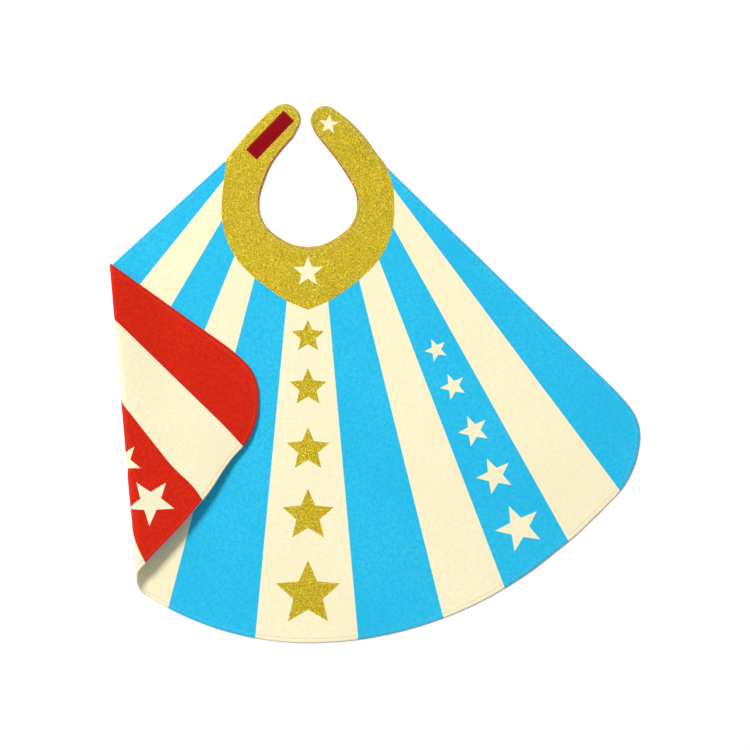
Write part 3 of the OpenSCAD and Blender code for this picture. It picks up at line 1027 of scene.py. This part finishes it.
def stitch_mesh(name, starts, ways, offsets, sign, material):
    """Short capsules of thread, each dipping into the cloth at both ends."""
    xy, off, faces = [], [], []
    for start, way, offset in zip(starts, ways, offsets):
        side = np.array([-way[1], way[0]])
        first = len(xy)
        for t, fat, rise in STITCH_STATIONS:
            for k in range(STITCH_SIDES):
                a = 2 * math.pi * k / STITCH_SIDES
                xy.append(start + way * STITCH_LONG * t + side * THREAD_R * fat * math.cos(a))
                off.append(offset + sign * THREAD_R * (rise + fat * math.sin(a)))
        for row in range(len(STITCH_STATIONS) - 1):
            for k in range(STITCH_SIDES):
                a = first + row * STITCH_SIDES + k
                b = first + row * STITCH_SIDES + (k + 1) % STITCH_SIDES
                faces.append((a, b, b + STITCH_SIDES, a + STITCH_SIDES)[::sign])
        last = first + (len(STITCH_STATIONS) - 1) * STITCH_SIDES
        faces.append(tuple(range(first + STITCH_SIDES - 1, first - 1, -1))[::sign])
        faces.append(tuple(range(last, last + STITCH_SIDES))[::sign])
    xy, off = np.array(xy), np.array(off)
    return add_object(name, place(xy, off), faces, np.column_stack([xy, off]), [material])


def stitch_line(run):
    """Starts and directions of the stitches along one edge, set in from it."""
    run = resampled(run, STITCH_SAMPLE, False)
    line = run + inward_normals(run) * STITCH_IN
    line = line[edge_distance(line) > STITCH_IN - STITCH_SLACK]
    gaps = np.linalg.norm(np.diff(line, axis=0), axis=1)
    at = np.concatenate([[0], np.cumsum(gaps)])
    where = np.arange(STITCH_FIRST, at[-1] - STITCH_LONG, STITCH_STEP)
    starts = np.column_stack([np.interp(where, at, line[:, k]) for k in (0, 1)])
    ends = np.column_stack([np.interp(where + STITCH_LONG, at, line[:, k]) for k in (0, 1)])
    ways = (ends - starts) / np.linalg.norm(ends - starts, axis=1)[:, None]
    return starts, ways


STITCH_NODES = {
    "main": ["topstitching"], "flap": ["flap_topstitching", "roll_topstitching"],
    "left_tab": ["left_tab_topstitching"], "right_tab": ["right_tab_topstitching"]}
for name in LOOPS:
    lines = [stitch_line(run) for run in RUNS[name]]
    starts = np.concatenate([s for s, _ in lines])
    ways = np.concatenate([w for _, w in lines])
    surface = float(outer_offset(np.array([STITCH_IN]))[0])
    shining = in_any(starts, GLITTER_LOOPS[name])
    offsets = surface + np.where(shining, GLITTER_HIGH, 0)
    front = stitch_mesh(f"{name}_stitches_front", starts, ways, offsets, 1, THREAD_FRONT)
    back = stitch_mesh(
        f"{name}_stitches_back", starts, ways, np.full(len(starts), -surface), -1, THREAD_BACK)
    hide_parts(*STITCH_NODES[name])
    for obj in (front, back):
        body_join(obj, name)


# -------------------- hook and loop strips
TAPE_HIGH = 0.7
TAPE_CORNER = 1.2
TAPE_CORNER_STEPS = 4
TAPE_SEAM_IN = 1.5
TAPE_SEAM_FIRST = 0.3
PILE_PITCH = 1.15
PILE_MARGIN = 2.0
PILE_STRAY = 0.2
PILE_LEAN = 0.45
PILE_LEAN_STRAY = 0.3
PILE_SIDES = (0.4, 1.97, 3.54, 5.11)
# Along one hook or loop: how far it leans, its height and its radius
PILE = {
    "hook": ((0, 0, 0.22), (0.05, 0.45, 0.2), (0.3, 0.75, 0.17), (0.55, 0.6, 0.12)),
    "loop": ((0, 0, 0.3), (0.12, 0.3, 0.36), (0.28, 0.5, 0.3), (0.4, 0.55, 0.12)),
}
# A place on the cloth that is far from any edge
FAR_IN = 20.0


def strip_rectangle(node, undo):
    """A strip's middle, its long and short directions and half its length and width, flat."""
    mesh = frame["nodes"][node].data
    points = np.array([(undo @ v.co) * MM for v in mesh.vertices])
    middle = (points.min(0) + points.max(0))[:2] / 2
    corners = points[np.abs(points[:, 2] - points[:, 2].min()) < 0.05][:, :2]
    length = np.linalg.norm(corners - middle, axis=1)
    corners = corners[length > length.max() - 0.5]
    base = corners[0]
    others = sorted((np.linalg.norm(c - base), tuple(c)) for c in corners[1:]
                    if np.linalg.norm(c - base) > 1)
    short = np.array(others[0][1]) - base
    long_way = [np.array(c) - base for _, c in others if abs((np.array(c) - base) @ short) < 5][0]
    long_full, wide_full = np.linalg.norm(long_way), np.linalg.norm(short)
    return middle, long_way / long_full, short / wide_full, long_full / 2, wide_full / 2


def joined(low, high):
    """Faces between two rings of as many points."""
    n = len(low)
    return [(low[k], low[(k + 1) % n], high[(k + 1) % n], high[k]) for k in range(n)]


def strip(name, node, undo, sign, pile, body):
    """Woven tape with a round-cornered selvedge, a field of hooks or loops, and its stitches."""
    middle, u, v, long_half, wide_half = strip_rectangle(node, undo)
    first = outer_offset(np.array([FAR_IN]))[0] + (GLITTER_HIGH if sign > 0 else 0)
    verts, faces = [], []

    def at(x, y, z):
        verts.append((*(middle + u * x + v * y), sign * (first + z)))
        return len(verts) - 1

    def ring(inset, z):
        made = []
        for sx, sy, start in ((1, 1, 0), (-1, 1, 90), (-1, -1, 180), (1, -1, 270)):
            for k in range(TAPE_CORNER_STEPS + 1):
                a = math.radians(start + 90 * k / TAPE_CORNER_STEPS)
                made.append(at(
                    sx * (long_half - inset - TAPE_CORNER) + TAPE_CORNER * math.cos(a),
                    sy * (wide_half - inset - TAPE_CORNER) + TAPE_CORNER * math.sin(a), z))
        return made

    rings = [ring(0.0, -0.05), ring(0.0, 0.45), ring(0.15, TAPE_HIGH - 0.08), ring(0.5, TAPE_HIGH)]
    for low, high in zip(rings, rings[1:]):
        faces += joined(low, high)
    faces += [tuple(rings[-1]), tuple(rings[0][::-1])]
    rows, columns = (
        int((2 * half - 2 * PILE_MARGIN) / PILE_PITCH) for half in (long_half, wide_half))
    for i in range(rows):
        for j in range(columns):
            x = (i - (rows - 1) / 2) * PILE_PITCH
            x += noise.noise(Vector((i * 1.7, j * 2.3, 1))) * PILE_STRAY
            y = (j - (columns - 1) / 2) * PILE_PITCH
            y += noise.noise(Vector((i * 2.1, j * 1.3, 5))) * PILE_STRAY
            lean = PILE_LEAN * (1 if (i + j) % 2 else -1)
            lean += PILE_LEAN_STRAY * noise.noise(Vector((i, j * 3.1, 9)))
            last = None
            for along, up, fat in PILE[pile]:
                here = [at(x + lean * along + fat * math.cos(a), y + fat * math.sin(a),
                           TAPE_HIGH - 0.05 + up) for a in PILE_SIDES]
                if last:
                    faces += joined(last, here)
                last = here
            faces.append(tuple(last))
    co = np.array(verts)
    if sign < 0:
        faces = [f[::-1] for f in faces]
    obj = add_object(name, place(co[:, :2], co[:, 2]), faces, co, [TAPE], sharp=TAPE_SHARP)
    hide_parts(node)
    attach(obj, body)
    box = [middle + u * a * (long_half - TAPE_SEAM_IN) + v * b * (wide_half - TAPE_SEAM_IN)
           for a, b in ((1, 1), (-1, 1), (-1, -1), (1, -1))]
    starts, ways = [], []
    for a, b in zip(box, box[1:] + box[:1]):
        side = np.linalg.norm(b - a)
        for t in np.arange(TAPE_SEAM_FIRST, side - STITCH_LONG, STITCH_STEP):
            starts.append(a + (b - a) / side * t)
            ways.append((b - a) / side)
    offsets = [sign * (first + TAPE_HIGH)] * len(starts)
    sewn = stitch_mesh(f"{name}_stitches", starts, ways, offsets, sign, TAPE_THREAD)
    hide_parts(f"{node}_stitching")
    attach(sewn, body)


strip("hook_tape_strip", "hook_strip", Matrix.Identity(4), 1, "hook", "left_tab")
strip("loop_tape_strip", "loop_strip", LAY_TAB, -1, "loop", "right_tab")

# -------------------- floor, light and camera
VIEW_WIDE = 0.9675
VIEW_CENTRE = (0.0864, -0.2258)
CAMERA_HIGH = 3.2
LENS_SENSOR = 36.0
FLOOR_WIDE = 12
FLOOR_Z = -0.0004
FLOOR_TONE = (0.98, 0.98, 0.98, 1)
# Name, place, size in metres and power in watts
LIGHTS = [("key", (-3.1, 2.4, 4.5), 1.5, 368), ("fill", (1.9, -1.6, 2.6), 2.4, 8)]
WORLD_STRENGTH = 0.41


def floor():
    m = Nodes("floor")
    m.shader.inputs["Base Color"].default_value = FLOOR_TONE
    m.shader.inputs["Roughness"].default_value = 0.9
    bpy.ops.mesh.primitive_plane_add(size=FLOOR_WIDE, location=(*VIEW_CENTRE, FLOOR_Z))
    plane = bpy.context.object
    plane.name = "floor"
    plane.data.materials.append(m.material)


def area_light(name, place_at, size, power):
    light = bpy.data.lights.new(name, "AREA")
    light.shape = "SQUARE"
    light.size = size
    light.energy = power
    obj = bpy.data.objects.new(name, light)
    obj.location = place_at
    aim = Vector((*VIEW_CENTRE, 0)) - Vector(place_at)
    obj.rotation_mode = "QUATERNION"
    obj.rotation_quaternion = aim.to_track_quat("-Z", "Y")
    bpy.context.scene.collection.objects.link(obj)


def studio():
    for light in LIGHTS:
        area_light(*light)
    world = bpy.data.worlds.new("studio")
    world.use_nodes = True
    background = world.node_tree.nodes["Background"]
    background.inputs["Color"].default_value = (1, 1, 1, 1)
    background.inputs["Strength"].default_value = WORLD_STRENGTH
    bpy.context.scene.world = world


def camera():
    data = bpy.data.cameras.new("camera")
    data.sensor_width = LENS_SENSOR
    data.lens = LENS_SENSOR * CAMERA_HIGH / VIEW_WIDE
    obj = bpy.data.objects.new("camera", data)
    obj.location = (*VIEW_CENTRE, CAMERA_HIGH)
    bpy.context.scene.collection.objects.link(obj)
    bpy.context.scene.camera = obj


floor()
studio()
camera()
bpy.context.scene.view_settings.view_transform = "Standard"
